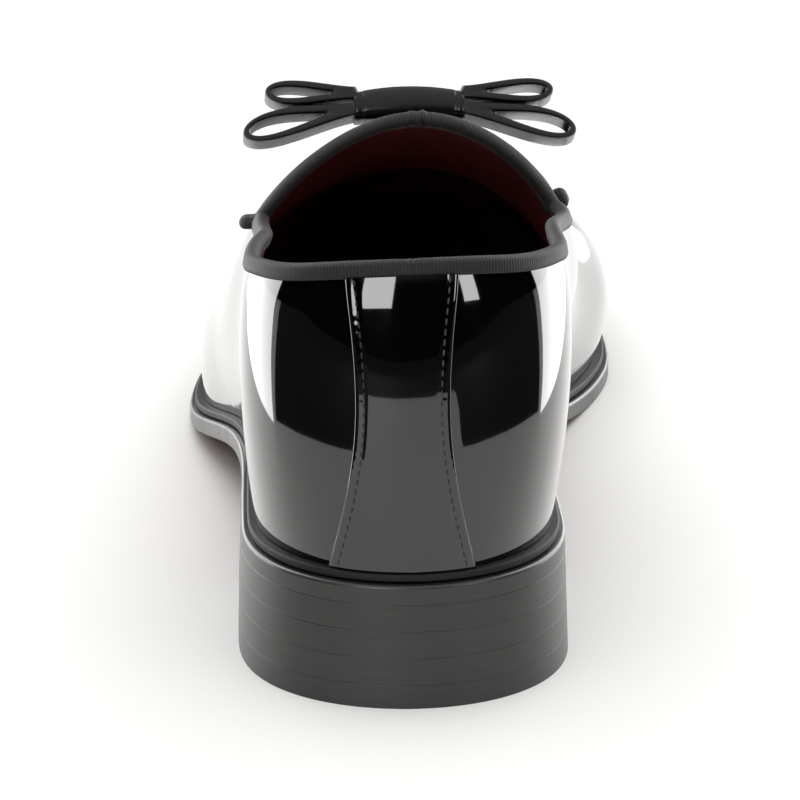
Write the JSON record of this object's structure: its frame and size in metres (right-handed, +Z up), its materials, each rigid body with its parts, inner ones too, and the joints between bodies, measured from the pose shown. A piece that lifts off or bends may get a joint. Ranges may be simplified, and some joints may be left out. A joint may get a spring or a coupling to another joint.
{
  "type": "tuxedo slip-on shoe",
  "caption": "Left tuxedo slip-on shoe: patent upper with heel strap, ribbed bindings and a flat bow, on a leather sole with a stacked heel.",
  "frame": {"origin": "on the floor under the middle of the shoe's length and width", "axes": "+Y from heel to toe, +X to the medial side, +Z up"},
  "size_m": [0.0992, 0.3048, 0.0957],
  "materials": {
    "patent": "patent leather, wet gloss",
    "grosgrain": "ribbed ribbon, matte",
    "bow_leather": "smooth calf, semi-gloss",
    "black_edge": "inked and waxed edge, satin",
    "sole_leather": "burgundy painted leather, satin",
    "lining_leather": "burgundy lining leather, matte",
    "heel_rubber": "fine textured rubber, matte"
  },
  "bodies": {
    "root": {"outsole": "sole_leather", "welt": "black_edge", "insole": "lining_leather", "heel_tip_rubber": "heel_rubber", "heel_tip_leather": "black_edge", "heel_lift_1": "black_edge", "heel_lift_2": "black_edge", "heel_lift_3": "black_edge", "upper": "patent", "heel_strap": "patent", "topline_binding": "grosgrain", "tongue_binding": "grosgrain", "bow_upper_loop_medial": "bow_leather", "bow_upper_loop_lateral": "bow_leather", "bow_lower_loop_medial": "bow_leather", "bow_lower_loop_lateral": "bow_leather", "bow_knot": "bow_leather"}
  },
  "joints": []
}
